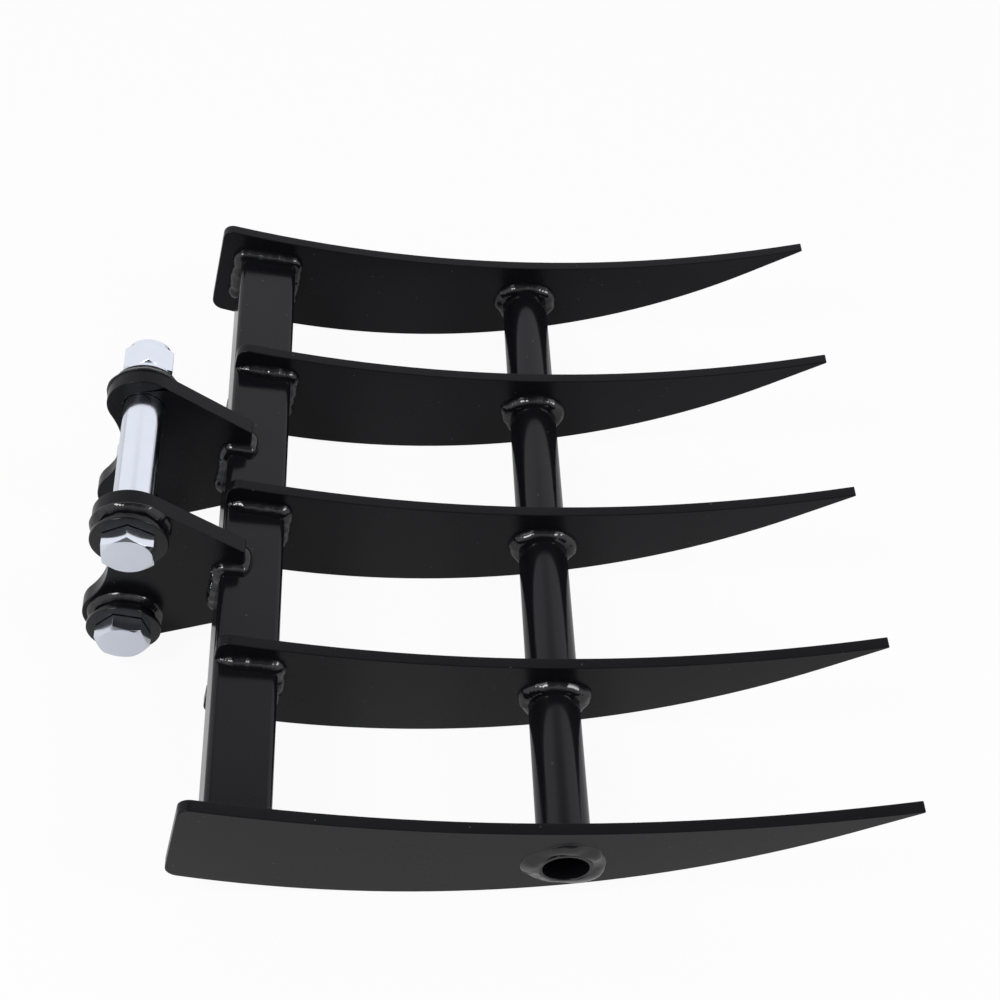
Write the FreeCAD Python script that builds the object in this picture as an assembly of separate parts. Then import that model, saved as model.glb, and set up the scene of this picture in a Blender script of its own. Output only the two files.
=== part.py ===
"""Excavator rake: five curved plate tines on a square tube and a cross pipe, with a pair of pinned hitch ears.

Millimetres. The pieces are drawn in the tube's own axes: x forward along the tube's top face from its back edge,
y along the tube, z square to that face. The last step turns the whole rake to the way it lies on level ground,
on the bellies of its tines and the lower lobes of its ears, and sets the origin on the ground below its middle.
"""
import FreeCAD, Part
import math
import os
from FreeCAD import Rotation, Vector

# Square tube
tube_size = 50.8
tube_wall = 4.0
tube_corner = 5.0

# Tine plates
tine_plate = 9.5
inner_pitch = 154.0
outer_pitch = 146.0
belly_x = 73.0
belly_depth = 82.0
belly_radius = 597.0
back_x = 85.0
back_height = 20.8
back_radius = 1040.0
tip_reach = 517.0
tip_straight = 40.0
tip_round = 1.0
heel_behind = 20.0
heel_top_round = 9.0
heel_bottom_round = 12.0
arm_round = 10.5

# Cross pipe
pipe_diameter = 42.2
pipe_wall = 3.0
pipe_x = 276.0
pipe_drop = 9.7
pipe_stub = 4.0

# Hitch ears
ear_plate = 14.0
ear_gap = 112.0
upper_pin_x = -74.6
upper_pin_z = 38.4
lower_pin_x = -69.0
lower_pin_z = -80.8
upper_lobe = 30.5
lower_lobe = 35.0
waist_radius = 82.0
nose_reach = 17.0
nose_height = 23.0
foot_reach = 44.0
foot_height = 5.5

# Pins and what holds them
pin_diameter = 33.0
pin_thread = 27.0
thread_proud = 5.0
thread_lead = 2.0
across_flats = 41.0
head_height = 15.0
nut_height = 24.0
face_diameter = 40.0
face_chamfer_angle = 30.0
boss_diameter = 49.0
boss_height = 10.0
washer_diameter = 59.0
washer_thickness = 5.0
washer_edge = 0.8
lock_washer_diameter = 43.0
lock_washer_thickness = 5.0
lock_washer_split = 2.5
lock_washer_slant = 25.0
upper_turn = 82.0
lower_turn = 100.0
nut_turn = -5.0

# Weld beads
tube_leg = 6.0
pipe_leg = 7.0
stub_leg = 12.0
boss_leg = 5.0
bead_toe = 0.2
bead_sides = 24
bead_corner_sides = 3

# Fits
seat_gap = 0.2
pin_clearance = 0.3
thread_clearance = 0.1

tine_names = ("outer_tine_right", "inner_tine_right", "middle_tine", "inner_tine_left", "outer_tine_left")
tine_places = (-inner_pitch - outer_pitch, -inner_pitch, 0.0, inner_pitch, inner_pitch + outer_pitch)
half_width = inner_pitch + outer_pitch + tine_plate / 2
ear_outside = ear_gap / 2 + ear_plate
upper_pin = Vector(upper_pin_x, 0, upper_pin_z)
lower_pin = Vector(lower_pin_x, 0, lower_pin_z)
pipe_centre = Vector(pipe_x, 0, -pipe_drop)
along = Vector(0, 1, 0)


def belly_z(x):
    """Height of the tine's round lower edge at x."""
    return belly_radius - belly_depth - math.sqrt(belly_radius ** 2 - (x - belly_x) ** 2)


def belly_slope(x):
    return (x - belly_x) / math.sqrt(belly_radius ** 2 - (x - belly_x) ** 2)


def back_z(x):
    """Height of the tine's upper edge at x."""
    return back_radius + back_height - math.sqrt(back_radius ** 2 - (x - back_x) ** 2)


def at(x, z, y=0.0):
    return Vector(x, y, z)


def line(a, b):
    return Part.LineSegment(a, b).toShape()


def arc(a, middle, b):
    return Part.Arc(a, middle, b).toShape()


def plate(edges, y, thickness):
    """The flat plate bounded by edges drawn at y = 0, from y to y + thickness."""
    face = Part.Face(Part.Wire(edges))
    solid = face.extrude(along * thickness)
    solid.translate(along * y)
    return solid


def disc(centre, y, radius, length):
    """A round bar along y."""
    return Part.makeCylinder(radius, length, at(centre.x, centre.z, y), along)


def cone(centre, y, radius_start, radius_end, length):
    return Part.makeCone(radius_start, radius_end, length, at(centre.x, centre.z, y), along)


def cross_edges(solid, x, z):
    """Edges of the solid that run along y through the point (x, z)."""
    found = []
    for edge in solid.Edges:
        middle = edge.valueAt((edge.FirstParameter + edge.LastParameter) / 2)
        ends = [vertex.Point for vertex in edge.Vertexes]
        runs_across = len(ends) == 2 and abs(ends[0].y - ends[1].y) > 1
        if runs_across and math.hypot(middle.x - x, middle.z - z) < 0.01:
            found.append(edge)
    return found


def rounded(solid, x, z, radius):
    return solid.makeFillet(radius, cross_edges(solid, x, z))


def tine_blank(y, heel_x, top_round, bottom_round):
    """A full tine plate from heel_x to the blunt tip, with both heel corners rounded."""
    top_heel = at(heel_x, back_z(heel_x))
    top_tip = at(tip_reach, back_z(tip_reach))
    low_heel = at(heel_x, belly_z(heel_x))
    run_start = at(tip_reach - tip_straight, belly_z(tip_reach - tip_straight))
    low_tip = lower_tip(top_tip, run_start)
    middle = (heel_x + run_start.x) / 2
    edges = [
        arc(top_heel, at(middle, back_z(middle)), top_tip),
        line(top_tip, low_tip),
        line(low_tip, run_start),
        arc(run_start, at(middle, belly_z(middle)), low_heel),
        line(low_heel, top_heel),
    ]
    blank = plate(edges, y - tine_plate / 2, tine_plate)
    blank = rounded(blank, top_heel.x, top_heel.z, top_round)
    blank = rounded(blank, low_heel.x, low_heel.z, bottom_round)
    blank = rounded(blank, top_tip.x, top_tip.z, tip_round)
    return rounded(blank, low_tip.x, low_tip.z, tip_round)


def lower_tip(top_tip, run_start):
    """Where the tip's blunt end, square to the back edge, meets the straight end of the belly edge."""
    back_slope = (tip_reach - back_x) / math.sqrt(back_radius ** 2 - (tip_reach - back_x) ** 2)
    run_slope = belly_slope(run_start.x)
    gap = top_tip.z - run_start.z - run_slope * (top_tip.x - run_start.x)
    x = top_tip.x + gap * back_slope / (1 + run_slope * back_slope)
    return at(x, run_start.z + run_slope * (x - run_start.x))


def pipe_hole(y, thickness):
    return disc(pipe_centre, y - thickness, pipe_diameter / 2 + seat_gap, 3 * thickness)


def outer_tine(y):
    """An end plate: it caps the square tube and runs on behind it as a heel."""
    blank = tine_blank(y, -heel_behind, heel_top_round, heel_bottom_round)
    return blank.cut(pipe_hole(y, tine_plate))


def tube_notch(y, thickness):
    """The square notch that a plate needs to seat on three sides of the tube, open far past both ends."""
    side = tube_size + 2 * seat_gap
    return Part.makeBox(side, 3 * thickness, side, at(-seat_gap, -tube_size - seat_gap, y - thickness))


def inner_tine(y):
    """A tine with two arms that reach over and under the tube, level with its back face."""
    blank = tine_blank(y, 0.0, arm_round, arm_round)
    notched = blank.cut(tube_notch(y - tine_plate / 2, tine_plate))
    return notched.cut(pipe_hole(y, tine_plate))


def square_ring(y, grow=0.0):
    """The tube's outline, grown outwards by a given amount, as a closed wire at y."""
    low = -grow
    high = tube_size + grow
    r = tube_corner + grow
    k = r * (1 - math.sqrt(0.5))
    x0, x1, z0, z1 = low, high, -high, -low
    edges = [
        line(at(x0 + r, z1, y), at(x1 - r, z1, y)),
        arc(at(x1 - r, z1, y), at(x1 - k, z1 - k, y), at(x1, z1 - r, y)),
        line(at(x1, z1 - r, y), at(x1, z0 + r, y)),
        arc(at(x1, z0 + r, y), at(x1 - k, z0 + k, y), at(x1 - r, z0, y)),
        line(at(x1 - r, z0, y), at(x0 + r, z0, y)),
        arc(at(x0 + r, z0, y), at(x0 + k, z0 + k, y), at(x0, z0 + r, y)),
        line(at(x0, z0 + r, y), at(x0, z1 - r, y)),
        arc(at(x0, z1 - r, y), at(x0 + k, z1 - k, y), at(x0 + r, z1, y)),
    ]
    return Part.Wire(edges)


def square_tube():
    """The main beam, from one end plate to the other, hollow and sealed by them."""
    start = tine_plate / 2 - inner_pitch - outer_pitch
    length = -2 * start
    outside = Part.Face(square_ring(start)).extrude(along * length)
    inside = Part.Face(square_ring(start, -tube_wall)).extrude(along * length)
    return outside.cut(inside)


def cross_pipe():
    """The round stiffening pipe, right through all five tines, open at both ends."""
    start = -half_width - pipe_stub
    length = -2 * start
    bore = pipe_diameter / 2 - pipe_wall
    return disc(pipe_centre, start, pipe_diameter / 2, length).cut(disc(pipe_centre, start, bore, length))


def tangent_point(point, centre, radius, side):
    """Where a line from point touches a circle; side is 1 or -1."""
    to_centre = centre - point
    distance = to_centre.Length
    base = math.atan2(to_centre.z, to_centre.x)
    angle = base + side * math.asin(radius / distance)
    reach = math.sqrt(distance ** 2 - radius ** 2)
    return point + at(math.cos(angle), math.sin(angle)) * reach


def toward(centre, other, radius):
    direction = other - centre
    return centre + direction * (radius / direction.Length)


def waist_centre():
    """Centre of the hollow behind the ear that joins both lobes smoothly."""
    to_lower = lower_pin - upper_pin
    a = upper_lobe + waist_radius
    b = lower_lobe + waist_radius
    span = to_lower.Length
    down = (a * a - b * b + span * span) / (2 * span)
    out = math.sqrt(a * a - down * down)
    unit = to_lower * (1 / span)
    back = at(unit.z, -unit.x)
    return upper_pin + unit * down + back * out


def arc_middle(centre, radius, a, b, hint):
    """A point on the circle between a and b, on the side of hint."""
    half = (a + b) * 0.5 - centre
    middle = half * (radius / half.Length)
    if middle.dot(hint) < 0:
        middle = middle * -1
    return centre + middle


def ear(y):
    """One hitch ear: two lobes round the pins, a hollow waist, and a notch that seats on the tube."""
    clear = tube_size + seat_gap
    nose_top = at(nose_reach, nose_height)
    nose_low = at(nose_reach, seat_gap)
    corner_top = at(-seat_gap, seat_gap)
    corner_low = at(-seat_gap, -clear)
    foot_top = at(foot_reach, -clear)
    foot_low = at(foot_reach, -clear - foot_height)
    waist = waist_centre()
    upper_start = tangent_point(nose_top, upper_pin, upper_lobe, -1)
    upper_end = toward(upper_pin, waist, upper_lobe)
    lower_start = toward(lower_pin, waist, lower_lobe)
    lower_end = tangent_point(foot_low, lower_pin, lower_lobe, 1)
    backward = at(-1, 0)
    edges = [
        line(nose_low, nose_top),
        line(nose_top, upper_start),
        arc(upper_start, arc_middle(upper_pin, upper_lobe, upper_start, upper_end, backward), upper_end),
        arc(upper_end, arc_middle(waist, waist_radius, upper_end, lower_start, at(1, 0)), lower_start),
        arc(lower_start, arc_middle(lower_pin, lower_lobe, lower_start, lower_end, backward), lower_end),
        line(lower_end, foot_low),
        line(foot_low, foot_top),
        line(foot_top, corner_low),
        line(corner_low, corner_top),
        line(corner_top, nose_low),
    ]
    blank = plate(edges, y, ear_plate)
    for pin in (upper_pin, lower_pin):
        blank = blank.cut(disc(pin, y - ear_plate, pin_diameter / 2 + pin_clearance, 3 * ear_plate))
    return blank


def ring(centre, y, outside, inside, thickness):
    return disc(centre, y, outside, thickness).cut(disc(centre, y, inside, thickness))


def boss(pin, y):
    """A round pad welded to the ear's outer face, bored for the pin."""
    return ring(pin, y, boss_diameter / 2, pin_diameter / 2 + pin_clearance, boss_height)


def head_washer(pin):
    """A flat washer under the head, with its head side edge broken."""
    y = -ear_outside - boss_height - washer_thickness
    washer = ring(pin, y, washer_diameter / 2, pin_diameter / 2 + pin_clearance, washer_thickness)
    rim = [edge for edge in washer.Edges if edge.Length > math.pi * pin_diameter * 1.2 and edge.CenterOfMass.y < y + 1]
    return washer.makeChamfer(washer_edge, rim)


def flats(centre, y, radius, sides, turn=0.0):
    """A closed ring of flat sides round a circle; turn is the angle of one corner above the x axis."""
    corner = radius / math.cos(math.pi / sides)
    points = []
    for k in range(sides + 1):
        angle = math.radians(turn + 360 * k / sides)
        points.append(at(centre.x + corner * math.cos(angle), centre.z + corner * math.sin(angle), y))
    return Part.makePolygon(points)


def hexagon(centre, y, turn, height):
    return Part.Face(flats(centre, y, across_flats / 2, 6, turn)).extrude(along * height)


def chamfer_cone(centre, face_y, inward):
    """The body that leaves a chamfered round face on a hexagon whose end face is at face_y."""
    depth = head_height + nut_height
    grown = face_diameter / 2 + depth / math.tan(math.radians(face_chamfer_angle))
    if inward > 0:
        return cone(centre, face_y, face_diameter / 2, grown, depth)
    return cone(centre, face_y - depth, grown, face_diameter / 2, depth)


def pin_bolt(pin, turn):
    """A pin with a hexagon head at the right end and a thread at the left end, turned from one bar."""
    head_face = -ear_outside - boss_height - washer_thickness - head_height
    shank_start = head_face + head_height
    shank_end = ear_outside + boss_height - seat_gap
    thread_end = ear_outside + boss_height + lock_washer_thickness + nut_height + thread_proud
    head = hexagon(pin, head_face, turn, head_height).common(chamfer_cone(pin, head_face, 1))
    shank = disc(pin, shank_start, pin_diameter / 2, shank_end - shank_start)
    thread = disc(pin, shank_end, pin_thread / 2, thread_end - shank_end - thread_lead)
    point = cone(pin, thread_end - thread_lead, pin_thread / 2, pin_thread / 2 - thread_lead, thread_lead)
    return head.fuse([shank, thread, point]).removeSplitter()


def lock_washer(pin, turn):
    """A split spring washer, pressed flat, with its slanting split."""
    y = ear_outside + boss_height
    washer = ring(pin, y, lock_washer_diameter / 2, pin_thread / 2 + pin_clearance, lock_washer_thickness)
    slot = Part.makeBox(lock_washer_diameter, 4 * lock_washer_thickness, lock_washer_split)
    slot.translate(Vector(0, -2 * lock_washer_thickness, -lock_washer_split / 2))
    slot.rotate(Vector(), Vector(1, 0, 0), lock_washer_slant)
    slot.rotate(Vector(), along, -turn)
    slot.translate(pin + along * (y + lock_washer_thickness / 2))
    return washer.cut(slot)


def nut(pin, turn):
    y = ear_outside + boss_height + lock_washer_thickness
    body = hexagon(pin, y, turn, nut_height).common(chamfer_cone(pin, y + nut_height, -1))
    return body.cut(disc(pin, y - nut_height, pin_thread / 2 + thread_clearance, 3 * nut_height))


def bead_ring(y, grow):
    """The tube's outline grown by a given amount, with each corner in a few straight chords."""
    centre = tube_size / 2 - tube_corner
    corner = (tube_corner + grow) / math.cos(math.pi / 4 / bead_corner_sides)
    points = []
    for quarter in range(4):
        for k in range(bead_corner_sides):
            angle = math.pi / 2 * (quarter + (k + 0.5) / bead_corner_sides)
            middle_x = math.copysign(centre, math.cos(math.pi / 2 * (quarter + 0.5)))
            middle_z = math.copysign(centre, math.sin(math.pi / 2 * (quarter + 0.5)))
            x = tube_size / 2 + middle_x + corner * math.cos(angle)
            z = -tube_size / 2 + middle_z + corner * math.sin(angle)
            points.append(at(x, z, y))
    return Part.makePolygon(points + points[:1])


def tube_bead(y, side, leg):
    """A fillet weld right round the tube, with its foot on a plate face at y; side is the way it tapers."""
    solid = Part.makeLoft([bead_ring(y, leg), bead_ring(y + side * leg, bead_toe)], True, True)
    core = Part.Face(bead_ring(y - 2 * leg, 0.0)).extrude(along * (4 * leg))
    return solid.cut(core)


def slab(x0, x1, z0, z1):
    """A block from x0 to x1 and z0 to z1 that is wider than the rake."""
    reach = 2 * half_width
    return Part.makeBox(x1 - x0, 2 * reach, z1 - z0, at(x0, z0, -reach))


def tine_tube_welds():
    """Beads round the tube on both end plates, and over, before and under it at each inner tine."""
    beads = []
    far = 2 * tube_size
    for name, y in zip(tine_names, tine_places):
        for side in (-1, 1):
            face = y + side * tine_plate / 2
            bead = tube_bead(face, side, tube_leg)
            if name.startswith("outer"):
                if side * y < 0:
                    beads.append(bead)
            else:
                beads.append(bead.cut(slab(-far, tube_corner / 2, -far, far)))
    return Part.makeCompound(beads)


def ear_tube_welds():
    """Beads in the notch of each ear, on both of its faces: on the nose, down the back and along the foot."""
    beads = []
    far = 2 * tube_size
    for y in (-ear_outside, ear_gap / 2):
        for face, side in ((y, -1), (y + ear_plate, 1)):
            bead = tube_bead(face, side, tube_leg)
            bead = bead.cut(slab(nose_reach, far, -tube_size / 2, far))
            beads.append(bead.cut(slab(foot_reach, far, -far, 0)))
    return Part.makeCompound(beads)


def round_bead(centre, y, side, radius, leg, height):
    """A tapering bead, in flats, round a bar of the given radius; it is leg wide on the plate face at y."""
    foot = flats(centre, y, radius + leg, bead_sides)
    toe = flats(centre, y + side * height, radius + bead_toe, bead_sides)
    core = Part.Face(flats(centre, y - 2 * height, radius, bead_sides)).extrude(along * (4 * height))
    return Part.makeLoft([foot, toe], True, True).cut(core)


def tine_pipe_welds():
    """Beads round the pipe on both faces of each tine, broad ones on the outermost faces."""
    beads = []
    for y in tine_places:
        for side in (-1, 1):
            face = y + side * tine_plate / 2
            outermost = abs(face) > half_width - seat_gap
            leg, height = (stub_leg, pipe_stub) if outermost else (pipe_leg, pipe_leg)
            beads.append(round_bead(pipe_centre, face, side, pipe_diameter / 2, leg, height))
    return Part.makeCompound(beads)


def boss_welds():
    """A bead round each boss on the ear's outer face."""
    beads = []
    for pin in (upper_pin, lower_pin):
        for side in (-1, 1):
            beads.append(round_bead(pin, side * ear_outside, side, boss_diameter / 2, boss_leg, boss_leg))
    return Part.makeCompound(beads)


def rest_tilt():
    """Angle, in the drawing, of the line that touches both the tine bellies and the lower lobes from below."""
    belly = at(belly_x, belly_radius - belly_depth)
    between = belly - lower_pin
    base = math.atan2(between.z, between.x)
    normal = base - math.acos((lower_lobe - belly_radius) / between.Length)
    return math.degrees(normal) + 90


def build():
    nodes = {}
    for name, y in zip(tine_names, tine_places):
        nodes[name] = outer_tine(y) if name.startswith("outer") else inner_tine(y)
    nodes["square_tube"] = square_tube()
    nodes["cross_pipe"] = cross_pipe()
    nodes["right_ear"] = ear(-ear_outside)
    nodes["left_ear"] = ear(ear_gap / 2)
    pins = ((upper_pin, upper_turn), (lower_pin, lower_turn))
    nodes["right_ear_bosses"] = Part.makeCompound([boss(pin, -ear_outside - boss_height) for pin, turn in pins])
    nodes["left_ear_bosses"] = Part.makeCompound([boss(pin, ear_outside) for pin, turn in pins])
    nodes["upper_pin_bolt"] = pin_bolt(upper_pin, upper_turn)
    nodes["lower_pin_bolt"] = pin_bolt(lower_pin, lower_turn)
    nodes["head_washers"] = Part.makeCompound([head_washer(pin) for pin, turn in pins])
    nodes["lock_washers"] = Part.makeCompound([lock_washer(pin, turn) for pin, turn in pins])
    nodes["pin_nuts"] = Part.makeCompound([nut(pin, turn + nut_turn) for pin, turn in pins])
    nodes["tine_tube_welds"] = tine_tube_welds()
    nodes["ear_tube_welds"] = ear_tube_welds()
    nodes["tine_pipe_welds"] = tine_pipe_welds()
    nodes["boss_welds"] = boss_welds()
    return nodes


def laid_on_ground(nodes):
    """Turns every piece to the resting attitude and puts the origin on the ground under the middle."""
    tilt = Rotation(along, rest_tilt())
    for shape in nodes.values():
        shape.transformShape(FreeCAD.Placement(Vector(), tilt).toMatrix())
    box = Part.makeCompound(list(nodes.values())).optimalBoundingBox(False)
    for shape in nodes.values():
        shape.translate(Vector(-box.Center.x, -box.Center.y, -box.ZMin))
    return nodes


os.makedirs("parts", exist_ok=True)
for node, shape in laid_on_ground(build()).items():
    shape.exportStep("parts/" + node + ".step")
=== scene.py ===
"""Looks of the excavator rake: painted plate, tube and pipe, weld beads, zinc plated pins, and the studio.

Everything is in metres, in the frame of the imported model. The drawing axes are the tube's own: x forward along
the tube's top face from its back edge, y along the tube, z square to that face.
"""
import math

import bmesh
import bpy
from mathutils import Matrix, Vector, noise

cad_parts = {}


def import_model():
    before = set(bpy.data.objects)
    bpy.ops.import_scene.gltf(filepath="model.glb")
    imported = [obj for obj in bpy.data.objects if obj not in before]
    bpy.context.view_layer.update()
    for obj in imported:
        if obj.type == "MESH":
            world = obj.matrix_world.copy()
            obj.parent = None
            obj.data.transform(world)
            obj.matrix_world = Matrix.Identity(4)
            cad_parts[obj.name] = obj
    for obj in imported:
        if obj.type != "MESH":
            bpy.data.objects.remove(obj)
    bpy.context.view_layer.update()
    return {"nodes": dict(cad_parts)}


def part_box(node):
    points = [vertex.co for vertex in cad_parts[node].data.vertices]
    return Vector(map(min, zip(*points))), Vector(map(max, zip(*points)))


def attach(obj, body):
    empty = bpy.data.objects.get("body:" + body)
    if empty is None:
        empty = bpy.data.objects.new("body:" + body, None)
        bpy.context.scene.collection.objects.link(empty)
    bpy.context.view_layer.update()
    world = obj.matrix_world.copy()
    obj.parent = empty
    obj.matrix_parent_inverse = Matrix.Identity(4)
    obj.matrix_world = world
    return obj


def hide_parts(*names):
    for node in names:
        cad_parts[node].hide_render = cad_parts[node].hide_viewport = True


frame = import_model()

# The rake's resting tilt, and the places in the drawing axes that the frame's boxes don't give
rest_tilt = math.radians(10.02)
tube_size = 0.0508
tube_corner = 0.005
upper_pin = (-0.0746, 0.0384)
lower_pin = (-0.0690, -0.0808)
nose_reach = 0.017
foot_reach = 0.044

# Bosses and washers
boss_radius = 0.026
boss_inset = 0.0168
boss_proud = 0.001
washer_radius = 0.0305
washer_height = 0.004
lock_washer_height = 0.0065
lock_washer_radius = 0.02175
lock_washer_bore = 0.0138
split_turn = math.radians(60)
split_width = 0.0025
split_slant = math.radians(25)
turned_edge = 0.0007
ring_sides = 96

# Pins and nuts
pin_radius = 0.0165
thread_radius = 0.0135
thread_pitch = 0.003
thread_depth = 0.0018
thread_around = 72
thread_steps = 14
thread_crest = 0.12
thread_flank = 0.7
across_flats = 0.040
face_radius = 0.01925
face_chamfer = math.radians(30)
head_room = 0.015
head_height = 0.0138
bearing_height = 0.0008
bearing_radius = 0.019
nut_height = 0.0245
collar_height = 0.0055
collar_radius = 0.0185
collar_round = 0.0016
collar_steps = 5
thread_proud = 0.0025
pin_turns = {"upper": math.radians(97), "lower": math.radians(115)}
nut_turn = math.radians(-4)

# Width of the broken edges, and the least angle in degrees between two faces that has one
plate_edge = 0.0008
ear_edge = 0.0009
bar_edge = 0.0005
plating_edge = 0.0003
least_angle = 25
hexagon_least_angle = 24

# Weld beads: legs on the plate and on the bar
tube_leg = 0.0076
ear_leg = 0.0070
pipe_leg = 0.0075
stub_leg = 0.0115
stub_rise = 0.0036
stub_unevenness = 2.6
stub_coarseness = 1.6
boss_leg = 0.0058
flank_angle = math.radians(66)
flank_width = math.radians(24)
flank_spread = 0.45
end_leg = 0.0035
end_run = 0.012
end_set_back = 0.0055
bead_step = 0.0006
bead_sink = 0.0005
end_push = 0.0015
end_turns = 14
bead_sides = 9
ripple_pitch = 0.0026
ripple_height = 0.00012
lump_size = 0.0075
lump_height = 0.0008
small_lump = 0.15
swell = 0.16
leg_swell = 0.1
ripple_drift = 0.9
ripple_arch = 0.45
bead_bulge = 0.3
boss_bulge = 0.15
stub_bulge = 0.12
end_plate_unevenness = 2.0
tine_unevenness = 1.6
ear_unevenness = 1.3
boss_unevenness = 0.8

# First seeds of the four sets of beads
tube_seed = 1
ear_seed = 11
pipe_seed = 20
boss_seed = 40

# Grain of the coats, in cells per metre, and the share of a cell that a speck of dust takes
cloud_scale = 14
peel_scale = 420
grain_scale = 2600
dust_scale = 75
dust_core = 0.035
dust_rim = 0.055
dust_colour = (0.05, 0.05, 0.055)
zinc_cloud_scale = 60
zinc_mark_scale = 900

tine_names = ("outer_tine_right", "inner_tine_right", "middle_tine", "inner_tine_left", "outer_tine_left")

# Camera, as fitted to the photograph
camera_place = (-0.1016, -0.9078, 1.2353)
camera_lens = 62.302
camera_sensor = 36
camera_pitch = math.radians(51.357)
camera_roll = math.radians(-3.2)
level_turn = math.radians(-6.279)

# Studio: a white horizon, a dimmer ceiling, a dark side behind the camera, and a floor that looks white
horizon_top = 0.76
ceiling_start = 0.9
ceiling_light = 0.25
front_dark = -0.95
front_light = -0.6
front_share = 0.15
camera_white = 0.94
mirror_white = 0.3
floor_grey = 0.6
floor_reach = 12
floor_gap = 0.0003


def material(name):
    """A new node material; returns it with its node tree and its principled shader."""
    made = bpy.data.materials.new(name)
    made.use_nodes = True
    tree = made.node_tree
    return made, tree, tree.nodes["Principled BSDF"]


def texture(tree, kind, scale, stretch=None, **settings):
    """A texture in the piece's own metres, optionally stretched along an axis."""
    place = tree.nodes.new("ShaderNodeTexCoord")
    found = tree.nodes.new(kind)
    found.inputs["Scale"].default_value = scale
    for key, value in settings.items():
        found.inputs[key].default_value = value
    source = place.outputs["Object"]
    if stretch:
        mapping = tree.nodes.new("ShaderNodeMapping")
        mapping.inputs["Scale"].default_value = stretch
        tree.links.new(source, mapping.inputs["Vector"])
        source = mapping.outputs["Vector"]
    tree.links.new(source, found.inputs["Vector"])
    return found


def ranged(tree, source, low, high, to_low, to_high):
    """The source's values from low to high, spread over to_low to to_high."""
    found = tree.nodes.new("ShaderNodeMapRange")
    found.inputs["From Min"].default_value = low
    found.inputs["From Max"].default_value = high
    found.inputs["To Min"].default_value = to_low
    found.inputs["To Max"].default_value = to_high
    tree.links.new(source, found.inputs["Value"])
    return found.outputs["Result"]


def mixed(tree, share, first, second):
    """A colour between first, which may also be a node's output, and second."""
    found = tree.nodes.new("ShaderNodeMix")
    found.data_type = "RGBA"
    if isinstance(first, tuple):
        found.inputs["A"].default_value = (*first, 1)
    else:
        tree.links.new(first, found.inputs["A"])
    found.inputs["B"].default_value = (*second, 1)
    tree.links.new(share, found.inputs["Factor"])
    return found.outputs["Result"]


def bumped(tree, shader, layers):
    """Adds bump layers of (height source, strength, distance) to the shader."""
    last = None
    for source, strength, distance in layers:
        found = tree.nodes.new("ShaderNodeBump")
        found.inputs["Strength"].default_value = strength
        found.inputs["Distance"].default_value = distance
        tree.links.new(source, found.inputs["Height"])
        if last:
            tree.links.new(last, found.inputs["Normal"])
        last = found.outputs["Normal"]
    tree.links.new(last, shader.inputs["Normal"])


def black_paint(name, rough_low, rough_high, peel, gloss):
    """Semi-gloss black powder coat: slight orange peel, uneven gloss and a few specks of dust."""
    made, tree, shader = material(name)
    cloud = texture(tree, "ShaderNodeTexNoise", cloud_scale, Detail=3)
    peel_grain = texture(tree, "ShaderNodeTexNoise", peel_scale, Detail=2)
    fine_grain = texture(tree, "ShaderNodeTexNoise", grain_scale, Detail=2)
    speck = texture(tree, "ShaderNodeTexVoronoi", dust_scale)
    dust = ranged(tree, speck.outputs["Distance"], dust_core, dust_rim, 1.0, 0.0)
    shade = mixed(tree, cloud.outputs["Fac"], (0.0035, 0.0036, 0.0050), (0.0060, 0.0060, 0.0080))
    tree.links.new(mixed(tree, dust, shade, dust_colour), shader.inputs["Base Color"])
    shader.inputs["Specular IOR Level"].default_value = gloss
    rough = ranged(tree, cloud.outputs["Fac"], 0.3, 0.7, rough_low, rough_high)
    tree.links.new(rough, shader.inputs["Roughness"])
    layers = [(peel_grain.outputs["Fac"], peel, 0.0003), (fine_grain.outputs["Fac"], 0.05, 0.00006)]
    bumped(tree, shader, layers)
    return made


def zinc_plate(name, stretch=None):
    """Bright bluish zinc over steel; stretch draws the marks of turning out along one axis."""
    made, tree, shader = material(name)
    cloud = texture(tree, "ShaderNodeTexNoise", zinc_cloud_scale, Detail=4)
    marks = texture(tree, "ShaderNodeTexNoise", zinc_mark_scale, stretch, Detail=3)
    tone = mixed(tree, cloud.outputs["Fac"], (0.70, 0.74, 0.84), (0.78, 0.82, 0.91))
    tree.links.new(tone, shader.inputs["Base Color"])
    shader.inputs["Metallic"].default_value = 1.0
    rough = ranged(tree, cloud.outputs["Fac"], 0.3, 0.7, 0.1, 0.2)
    tree.links.new(rough, shader.inputs["Roughness"])
    bumped(tree, shader, [(marks.outputs["Fac"], 0.12, 0.0001), (cloud.outputs["Fac"], 0.15, 0.0004)])
    return made


paint = black_paint("black_paint", 0.2, 0.3, 0.22, 0.14)
pipe_paint = black_paint("pipe_paint", 0.12, 0.18, 0.15, 0.28)
weld_paint = black_paint("weld_paint", 0.06, 0.12, 0.12, 0.5)
zinc = zinc_plate("zinc_plate")
turned_zinc = zinc_plate("turned_zinc", (0.06, 1.0, 0.06))


def painted(piece, coat):
    """Gives the whole piece one coat and smooth shading."""
    piece.data.materials.clear()
    piece.data.materials.append(coat)
    for face in piece.data.polygons:
        face.material_index = 0
        face.use_smooth = True


def evened(piece):
    """Shades the broad faces flat, so that only the broken edges turn the light."""
    normals = piece.modifiers.new("normals", "WEIGHTED_NORMAL")
    normals.mode = "FACE_AREA"
    normals.weight = 60


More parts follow.
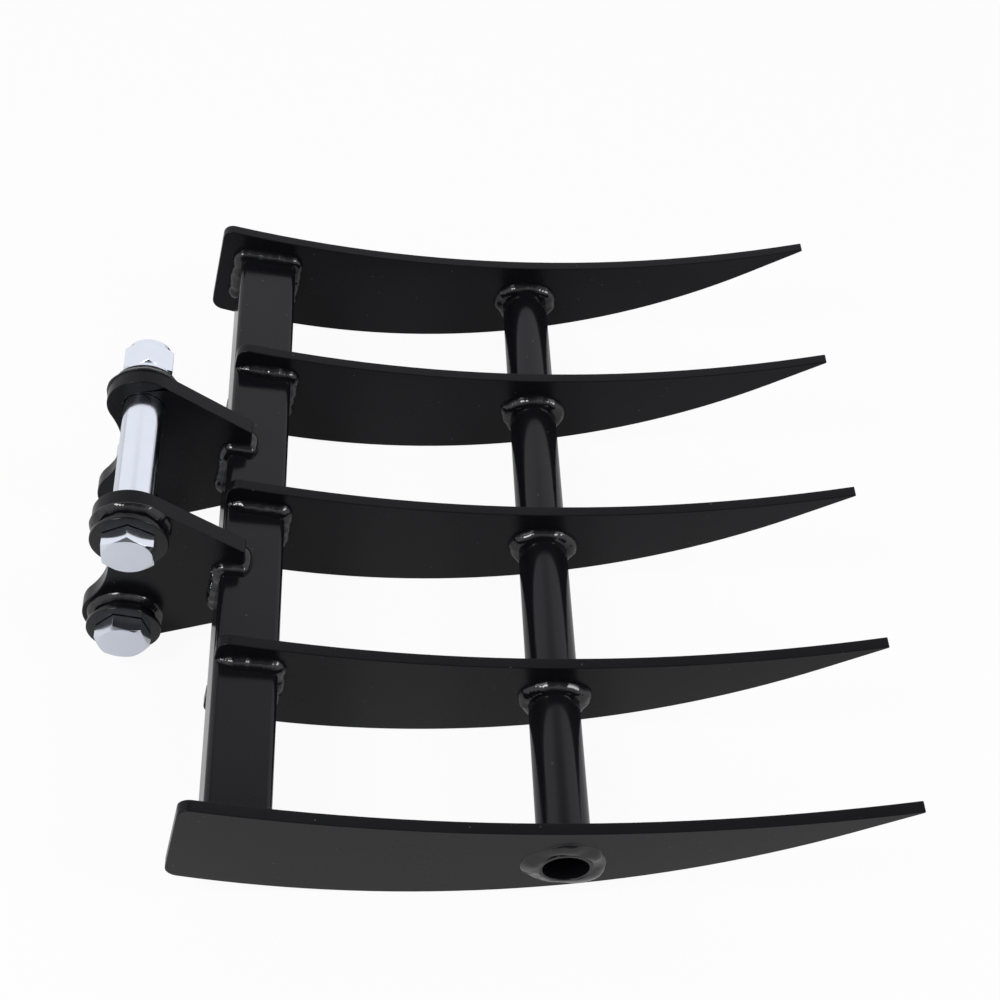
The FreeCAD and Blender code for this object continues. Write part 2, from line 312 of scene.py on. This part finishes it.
def softened(piece, width, segments=3, limit=least_angle):
    """Breaks the piece's sharp edges as far as thick paint or plating would."""
    weld = piece.modifiers.new("weld", "WELD")
    weld.merge_threshold = 0.00001
    flat = piece.modifiers.new("flat", "DECIMATE")
    flat.decimate_type = "DISSOLVE"
    flat.angle_limit = math.radians(0.5)
    bevel = piece.modifiers.new("edge", "BEVEL")
    bevel.width = width
    bevel.segments = segments
    bevel.limit_method = "ANGLE"
    bevel.angle_limit = math.radians(limit)
    evened(piece)


def in_row(x, y, z):
    """A point in the drawing axes, in the row frame."""
    low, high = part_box("square_tube")
    middle = (low + high) / 2
    turn = Matrix.Rotation(rest_tilt, 3, "Y")
    return turn @ Vector((x - tube_size / 2, y, z + tube_size / 2)) + Vector((middle.x, 0, middle.z))


def along_row(x, y, z):
    """A direction in the drawing axes, in the row frame."""
    return Matrix.Rotation(rest_tilt, 3, "Y") @ Vector((x, y, z))


def new_piece(name, mesh, coat, slot, *nodes):
    """Links a finished bmesh as a piece of the rake that stands for the given nodes."""
    bmesh.ops.recalc_face_normals(mesh, faces=mesh.faces)
    data = bpy.data.meshes.new(name)
    mesh.to_mesh(data)
    mesh.free()
    piece = bpy.data.objects.new(name, data)
    bpy.context.scene.collection.objects.link(piece)
    painted(piece, coat)
    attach(piece, "root")
    if nodes:
        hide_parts(*nodes)
    return piece


def rings(mesh, rows, closed):
    """Joins rows of points, each a closed ring, into a skin; closed joins the last row to the first."""
    made = [[mesh.verts.new(point) for point in row] for row in rows]
    count = len(rows[0])
    last = len(made) if closed else len(made) - 1
    for i in range(last):
        here = made[i]
        there = made[(i + 1) % len(made)]
        for k in range(count):
            n = (k + 1) % count
            mesh.faces.new((here[k], here[n], there[n], there[k]))
    if not closed:
        mesh.faces.new(made[0])
        mesh.faces.new(made[-1])


def bead(mesh, stations, seed, bulge, unevenness=1.0, coarseness=1.0):
    """Adds one closed weld bead.

    Each station is a corner point with the directions of its two legs and their lengths.
    """
    lengths = [0.0]
    for i in range(len(stations)):
        step = (stations[(i + 1) % len(stations)][0] - stations[i][0]).length
        lengths.append(lengths[-1] + step)
    whole = lengths[-1]
    ripples = max(1, round(whole / ripple_pitch))
    shift = Vector((seed * 1.37, seed * 2.11, seed * 0.73))
    rows = []
    for (corner, up, out, up_leg, out_leg), travelled in zip(stations, lengths):
        place = corner / (lump_size * coarseness) + shift
        fat = 1 + swell * unevenness * noise.noise(place * 0.6)
        lump = lump_height * unevenness * noise.noise(place * 1.1 + Vector((5, 9, 2)))
        lump += small_lump * lump_height * unevenness * noise.noise(place * 2.7 + Vector((1, 4, 7)))
        drift = ripple_drift * noise.noise(place * 0.8 + Vector((3, 3, 3)))
        up_here = up_leg * fat * (1 + leg_swell * noise.noise(place * 1.2))
        out_here = out_leg * fat * (1 + leg_swell * noise.noise(place * 1.1 + Vector((8, 1, 0))))
        chord = Vector((out_here, up_here)).normalized()
        row = []
        for k in range(bead_sides + 1):
            v = k / bead_sides
            crown = 4 * v * (1 - v)
            phase = ripples * travelled / whole + drift + ripple_arch * (2 * v - 1) ** 2
            ripple = ripple_height * (abs(math.sin(math.pi * phase)) - 0.5)
            push = crown * (bulge * (up_here + out_here) / 2 + lump + ripple)
            up_part = up * (up_here * (1 - v) + chord.x * push)
            row.append(corner + up_part + out * (out_here * v + chord.y * push))
        row.append(corner + out * out_here - up * bead_sink)
        row.append(corner - out * bead_sink - up * bead_sink)
        row.append(corner + up * up_here - out * bead_sink)
        rows.append(row)
    rings(mesh, rows, True)


def round_stations(centre, y, side, radius, up_leg, out_leg, spread=0.0):
    """Stations round a bar along y, on the plate face at y; the leg along the bar points to side.

    spread is the share by which the bead widens on the plate at both flanks, where the upper run ends, and
    thins below.
    """
    count = round(2 * math.pi * radius / bead_step)
    found = []
    for k in range(count):
        angle = 2 * math.pi * k / count
        away = Vector((math.cos(angle), 0, math.sin(angle)))
        corner = Vector((centre.x, y, centre.z)) + away * radius
        from_top = math.acos(away.z)
        flank = math.exp(-(((from_top - flank_angle) / flank_width) ** 2))
        below = min(1, max(0, (from_top - flank_angle) / flank_width - 1))
        wide = 1 + spread * (flank - below)
        found.append((corner, away, Vector((0, side, 0)), up_leg * wide, out_leg))
    return found


def tube_outline(start, end):
    """Points and outward normals round the tube's section in the drawing axes, between two distances.

    The distance runs from the middle of the rounded top back edge over the top, down the front, back along
    the bottom and up the back.
    """
    flat = tube_size - 2 * tube_corner
    quarter = math.pi / 2 * tube_corner
    span = flat + quarter
    count = round((end - start) / bead_step)
    found = []
    for k in range(count + 1):
        distance = start + (end - start) * k / count
        side, rest = divmod(distance + quarter / 2, span)
        if rest < quarter:
            angle = rest / tube_corner
            across = tube_corner - tube_corner * math.cos(angle)
            local = Vector((across, -tube_corner + tube_corner * math.sin(angle)))
            normal = Vector((-math.cos(angle), math.sin(angle)))
        else:
            local = Vector((tube_corner + rest - quarter, 0))
            normal = Vector((0, 1))
        turn = Matrix.Rotation(-math.pi / 2 * side, 2)
        middle = Vector((tube_size / 2, -tube_size / 2))
        found.append((turn @ (local - middle) + middle, turn @ normal))
    return found


def station(point, normal, y, out, leg):
    """One station of a bead on the tube, from the drawing axes to the row frame."""
    return (in_row(point.x, y, point.y), along_row(normal.x, 0, normal.y), out, leg, leg)


def saddle_stations(outline, low_face, high_face, leg, end_leg):
    """Stations of a bead along the outline on one face of a plate, round its end and back on the other.

    The legs shrink to end_leg towards both ends.
    """
    found = []
    last = len(outline) - 1
    for direction, (y, side) in ((1, (high_face, 1)), (-1, (low_face, -1))):
        for k, (point, normal) in enumerate(outline[::direction]):
            share = min(1, min(k, last - k) * bead_step / end_run)
            grown = end_leg + (leg - end_leg) * math.sin(math.pi / 2 * share)
            found.append(station(point, normal, y, Vector((0, side, 0)), grown))
        point, normal = outline[::direction][-1]
        tangent = Vector((normal.y, -normal.x)) * direction
        forward = along_row(tangent.x, 0, tangent.y)
        reach = (high_face - low_face) / 2
        middle = (high_face + low_face) / 2
        for k in range(1, end_turns):
            angle = math.pi * k / end_turns
            out = Vector((0, side * math.cos(angle), 0)) + forward * math.sin(angle)
            start = in_row(point.x, middle + side * reach * math.cos(angle), point.y)
            corner = start + forward * (end_push * math.sin(angle))
            found.append((corner, along_row(normal.x, 0, normal.y), out, end_leg, end_leg))
    return found


def tine_tube_beads():
    """Beads of the tines on the tube."""
    mesh = bmesh.new()
    whole = 4 * (tube_size - 2 * tube_corner + math.pi / 2 * tube_corner)
    back = tube_size - 2 * tube_corner + math.pi / 4 * tube_corner
    for number, name in enumerate(tine_names):
        low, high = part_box(name)
        if name.startswith("outer"):
            face, side = (high.y, 1) if high.y < 0 else (low.y, -1)
            outline = tube_outline(0, whole)[:-1]
            inward = Vector((0, side, 0))
            found = [station(point, normal, face, inward, tube_leg) for point, normal in outline]
            unevenness = end_plate_unevenness
        else:
            unevenness = tine_unevenness
            end = whole - back - math.pi / 4 * tube_corner - end_set_back
            found = saddle_stations(tube_outline(end_set_back, end), low.y, high.y, tube_leg, end_leg)
        bead(mesh, found, tube_seed + number, bead_bulge, unevenness)
    return new_piece("tine_tube_beads", mesh, weld_paint, "painted_weld", "tine_tube_welds")


def ear_tube_beads():
    """Beads of the ears on the tube: along the nose, down the back and along the foot, on both faces."""
    mesh = bmesh.new()
    span = tube_size - 2 * tube_corner + math.pi / 2 * tube_corner
    edge = math.pi / 4 * tube_corner - tube_corner
    for number, name in enumerate(("right_ear", "left_ear")):
        low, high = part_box(name)
        start = 3 * span - (foot_reach + edge)
        end = 4 * span + nose_reach + edge
        found = saddle_stations(tube_outline(start, end), low.y, high.y, ear_leg, ear_leg)
        bead(mesh, found, ear_seed + number, bead_bulge, ear_unevenness)
    return new_piece("ear_tube_beads", mesh, weld_paint, "painted_weld", "ear_tube_welds")


def tine_pipe_beads():
    """Beads round the pipe on both faces of each tine."""
    mesh = bmesh.new()
    low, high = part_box("cross_pipe")
    centre = (low + high) / 2
    radius = (high.x - low.x) / 2
    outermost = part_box(tine_names[-1])[1].y
    for number, name in enumerate(tine_names):
        tine_low, tine_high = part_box(name)
        for y, side in ((tine_low.y, -1), (tine_high.y, 1)):
            broad = abs(abs(y) - outermost) < 0.001
            legs = (stub_leg, stub_rise) if broad else (pipe_leg, pipe_leg)
            found = round_stations(centre, y, side, radius, *legs, 0 if broad else flank_spread)
            seed = pipe_seed + 2 * number + side
            if broad:
                bead(mesh, found, seed, stub_bulge, stub_unevenness, stub_coarseness)
            else:
                bead(mesh, found, seed, bead_bulge)
    return new_piece("tine_pipe_beads", mesh, weld_paint, "painted_weld", "tine_pipe_welds")


def boss_beads():
    """A bead round each boss on the ear's outer face."""
    mesh = bmesh.new()
    for number, (name, side) in enumerate((("right_ear", -1), ("left_ear", 1))):
        low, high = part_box(name)
        y = low.y if side < 0 else high.y
        for level, pin in enumerate((upper_pin, lower_pin)):
            centre = in_row(pin[0], 0, pin[1])
            found = round_stations(centre, y, side, boss_radius, boss_leg, boss_leg)
            bead(mesh, found, boss_seed + 2 * number + level, boss_bulge, boss_unevenness)
    return new_piece("boss_beads", mesh, weld_paint, "painted_weld", "boss_welds")


def hexagon_ring(turn, scale=1.0, per_side=12):
    """Points round a hexagon in the drawing axes, starting at a corner."""
    corner = across_flats / 2 / math.cos(math.pi / 6) * scale
    angles = [turn + math.pi / 3 * k for k in range(7)]
    corners = [Vector((math.cos(angle), math.sin(angle))) * corner for angle in angles]
    found = []
    for k in range(6):
        for step in range(per_side):
            found.append(corners[k].lerp(corners[k + 1], step / per_side))
    return found


def lathe_rows(centre, turn, profile):
    """Rings of points about a pin, one for each (y, radius, slope) of the profile.

    A radius of None takes the hexagon's own outline, and slope is 1 or -1 where the chamfer cuts it.
    """
    hexagon = hexagon_ring(turn)
    rows = []
    for y, radius, slope in profile:
        row = []
        for point in hexagon:
            if radius is None:
                local = point
                at_y = y + slope * (point.length - face_radius) * math.tan(face_chamfer)
            else:
                local = point.normalized() * radius
                at_y = y
            place = along_row(local.x, 0, local.y)
            row.append(Vector((centre.x + place.x, at_y, centre.z + place.z)))
        rows.append(row)
    return rows


def thread_rows(centre, start, end):
    """Rings of points of a right-hand thread from start to end, with a short lead at the end."""
    steps = round((end - start) / thread_pitch * thread_steps)
    rows = []
    for i in range(steps + 1):
        y = start + (end - start) * i / steps
        row = []
        for k in range(thread_around):
            angle = 2 * math.pi * k / thread_around
            phase = (y / thread_pitch + k / thread_around) % 1.0
            flank = min(1.0, max(0.0, (abs(phase - 0.5) * 2 - thread_crest) / thread_flank))
            radius = thread_radius - thread_depth * flank
            radius = min(radius, thread_radius - thread_depth + (end - y))
            radius = min(radius, thread_radius - thread_depth + max(0.0, y - start))
            row.append(Vector((centre.x + radius * math.cos(angle), y, centre.z + radius * math.sin(angle))))
        rows.append(row)
    return rows


def pin_bolts():
    """The two hitch pins: hexagon head, plain shank and rolled thread."""
    nut_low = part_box("lock_washers")[0].y + lock_washer_height
    for level, pin in (("upper", upper_pin), ("lower", lower_pin)):
        node = level + "_pin_bolt"
        centre = in_row(pin[0], 0, pin[1])
        shank_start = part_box(node)[0].y + head_room
        shank_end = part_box("left_ear_bosses")[1].y
        face = shank_start - head_height
        mesh = bmesh.new()
        profile = [
            (face, face_radius * 0.5, 0),
            (face, face_radius, 0),
            (face, None, 1),
            (shank_start - bearing_height, None, 0),
            (shank_start - bearing_height, bearing_radius, 0),
            (shank_start, bearing_radius, 0),
            (shank_start, pin_radius, 0),
            (shank_end, pin_radius, 0),
            (shank_end, thread_radius - thread_depth, 0),
        ]
        thread_end = nut_low + nut_height + collar_height + thread_proud
        rings(mesh, lathe_rows(centre, pin_turns[level], profile), False)
        rings(mesh, thread_rows(centre, shank_end - thread_pitch, thread_end), False)
        piece = new_piece(level + "_pin", mesh, turned_zinc, "zinc_plate", node)
        softened(piece, plating_edge, 2, hexagon_least_angle)


def pin_nuts():
    """The two lock nuts: hexagons chamfered at both ends, each with a round collar behind it."""
    mesh = bmesh.new()
    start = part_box("lock_washers")[0].y + lock_washer_height
    hexagon_end = start + nut_height
    end = hexagon_end + collar_height
    bore = thread_radius - thread_depth
    mouth = thread_radius + thread_depth / 4
    for level, pin in (("upper", upper_pin), ("lower", lower_pin)):
        centre = in_row(pin[0], 0, pin[1])
        profile = [
            (start, mouth, 0),
            (start, face_radius, 0),
            (start, None, 1),
            (hexagon_end, None, -1),
            (hexagon_end, face_radius, 0),
            (hexagon_end, collar_radius, 0),
        ]
        for step in range(collar_steps + 1):
            angle = math.pi / 2 * step / collar_steps
            away = collar_round * (1 - math.sin(angle))
            profile.append((end - away, collar_radius - collar_round * (1 - math.cos(angle)), 0))
        profile += [(end, mouth, 0), (end - thread_depth, bore, 0), (start + thread_depth, bore, 0)]
        rings(mesh, lathe_rows(centre, pin_turns[level] + nut_turn, profile), True)
    piece = new_piece("nuts", mesh, zinc, "zinc_plate", "pin_nuts")
    softened(piece, plating_edge, 2, hexagon_least_angle)


def turned_ring(mesh, centre, y_start, y_end, outside, inside, gap=None):
    """Adds a flat turned ring with broken edges; gap is the (angle, width, slant) of a split through it."""
    edge = turned_edge
    profile = [
        (y_start + edge, outside),
        (y_start, outside - edge),
        (y_start, inside + edge),
        (y_start + edge, inside),
        (y_end - edge, inside),
        (y_end, inside + edge),
        (y_end, outside - edge),
        (y_end - edge, outside),
    ]
    rows = []
    for k in range(ring_sides + (1 if gap else 0)):
        row = []
        for y, radius in profile:
            angle = 2 * math.pi * k / ring_sides
            if gap:
                turn, width, slant = gap
                lean = (y - (y_start + y_end) / 2) * math.tan(slant) / radius
                opened = width / radius
                angle = turn + lean + opened / 2 + (2 * math.pi - opened) * k / ring_sides
            row.append(Vector((centre.x + radius * math.cos(angle), y, centre.z + radius * math.sin(angle))))
        rows.append(row)
    rings(mesh, rows, gap is None)


def bosses():
    """The welded pads on the ears' outer faces."""
    for name, side in (("right", -1), ("left", 1)):
        low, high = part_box(name + "_ear_bosses")
        proud = boss_proud if side < 0 else 0
        mesh = bmesh.new()
        for pin in (upper_pin, lower_pin):
            turned_ring(mesh, in_row(pin[0], 0, pin[1]), low.y - proud, high.y, boss_radius, boss_inset)
        evened(new_piece(name + "_bosses", mesh, pipe_paint, "black_paint", name + "_ear_bosses"))


def washers():
    """The painted flat washers under the heads and the plated spring washers under the nuts."""
    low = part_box("head_washers")[0]
    mesh = bmesh.new()
    for pin in (upper_pin, lower_pin):
        turned_ring(mesh, in_row(pin[0], 0, pin[1]), low.y, low.y + washer_height, washer_radius, boss_inset)
    evened(new_piece("flat_washers", mesh, pipe_paint, "black_paint", "head_washers"))
    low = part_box("lock_washers")[0]
    mesh = bmesh.new()
    for level, pin in (("upper", upper_pin), ("lower", lower_pin)):
        split = (pin_turns[level] + split_turn, split_width, split_slant)
        end = low.y + lock_washer_height
        turned_ring(mesh, in_row(pin[0], 0, pin[1]), low.y, end, lock_washer_radius, lock_washer_bore, split)
    evened(new_piece("spring_washers", mesh, zinc, "zinc_plate", "lock_washers"))


def dress_nodes():
    """Paint and broken edges on the pieces whose shape comes from the frame."""
    for name in tine_names:
        painted(frame["nodes"][name], paint)
        softened(frame["nodes"][name], plate_edge)
    for name in ("right_ear", "left_ear"):
        painted(frame["nodes"][name], paint)
        softened(frame["nodes"][name], ear_edge)
    for name in ("square_tube", "cross_pipe"):
        painted(frame["nodes"][name], pipe_paint)
        softened(frame["nodes"][name], bar_edge, 2)


def camera():
    """The camera at the photograph's view."""
    level = Matrix.Rotation(level_turn, 3, "Y")
    pitched = Matrix.Rotation(math.pi / 2 - camera_pitch, 3, "X")
    rolled = Matrix.Rotation(camera_roll, 3, "Z")
    data = bpy.data.cameras.new("camera")
    data.lens = camera_lens
    data.sensor_width = camera_sensor
    found = bpy.data.objects.new("camera", data)
    found.matrix_world = Matrix.Translation(camera_place) @ (level @ pitched @ rolled).to_4x4()
    bpy.context.scene.collection.objects.link(found)
    bpy.context.scene.camera = found


def seen_rays(tree):
    """How white the floor is kept: most for the camera, less in reflections, not at all as a source of light."""
    path = tree.nodes.new("ShaderNodeLightPath")
    total = ranged(tree, path.outputs["Is Camera Ray"], 0, 1, 0.0, camera_white)
    for name in ("Is Glossy Ray", "Is Transmission Ray"):
        added = tree.nodes.new("ShaderNodeMath")
        added.operation = "MAXIMUM"
        tree.links.new(total, added.inputs[0])
        tree.links.new(ranged(tree, path.outputs[name], 0, 1, 0.0, mirror_white), added.inputs[1])
        total = added.outputs[0]
    return total


def world():
    """A white surround, dimmer overhead and dark behind the camera."""
    found = bpy.data.worlds.new("studio")
    bpy.context.scene.world = found
    found.use_nodes = True
    tree = found.node_tree
    back = tree.nodes["Background"]
    back.inputs["Color"].default_value = (1, 1, 1, 1)
    place = tree.nodes.new("ShaderNodeTexCoord")
    parts = tree.nodes.new("ShaderNodeSeparateXYZ")
    tree.links.new(place.outputs["Generated"], parts.inputs["Vector"])
    sky = ranged(tree, parts.outputs["Z"], horizon_top, ceiling_start, 1.0, ceiling_light)
    front = ranged(tree, parts.outputs["Y"], front_dark, front_light, front_share, 1.0)
    both = tree.nodes.new("ShaderNodeMath")
    both.operation = "MULTIPLY"
    tree.links.new(sky, both.inputs[0])
    tree.links.new(front, both.inputs[1])
    tree.links.new(both.outputs[0], back.inputs["Strength"])


def floor():
    """A plain pale floor that keeps a soft shadow."""
    mesh = bmesh.new()
    bmesh.ops.create_grid(mesh, x_segments=1, y_segments=1, size=floor_reach)
    data = bpy.data.meshes.new("floor")
    mesh.to_mesh(data)
    mesh.free()
    piece = bpy.data.objects.new("floor", data)
    piece.location.z = -floor_gap
    bpy.context.scene.collection.objects.link(piece)
    made = bpy.data.materials.new("floor")
    made.use_nodes = True
    tree = made.node_tree
    tree.nodes.remove(tree.nodes["Principled BSDF"])
    matt = tree.nodes.new("ShaderNodeBsdfDiffuse")
    matt.inputs["Color"].default_value = (floor_grey, floor_grey, floor_grey, 1)
    white = tree.nodes.new("ShaderNodeEmission")
    mix = tree.nodes.new("ShaderNodeMixShader")
    tree.links.new(seen_rays(tree), mix.inputs["Fac"])
    tree.links.new(matt.outputs["BSDF"], mix.inputs[1])
    tree.links.new(white.outputs["Emission"], mix.inputs[2])
    tree.links.new(mix.outputs["Shader"], tree.nodes["Material Output"].inputs["Surface"])
    data.materials.append(made)


def softbox(name, place, aim, size, power):
    """A large soft light at place, turned to aim."""
    data = bpy.data.lights.new(name, "AREA")
    data.shape = "RECTANGLE"
    data.size, data.size_y = size
    data.energy = power
    found = bpy.data.objects.new(name, data)
    found.location = place
    found.rotation_euler = (Vector(aim) - Vector(place)).to_track_quat("-Z", "Y").to_euler()
    bpy.context.scene.collection.objects.link(found)


tine_tube_beads()
ear_tube_beads()
tine_pipe_beads()
boss_beads()
bosses()
washers()
pin_bolts()
pin_nuts()
dress_nodes()
camera()
world()
floor()
softbox("key_box", (-1.3, -0.6, 1.9), (0.0, 0.0, 0.0), (0.7, 0.7), 24)
softbox("side_box", (1.6, -0.5, 1.5), (0.0, 0.0, 0.0), (0.9, 0.5), 14)

bpy.context.scene.view_settings.view_transform = "Standard"
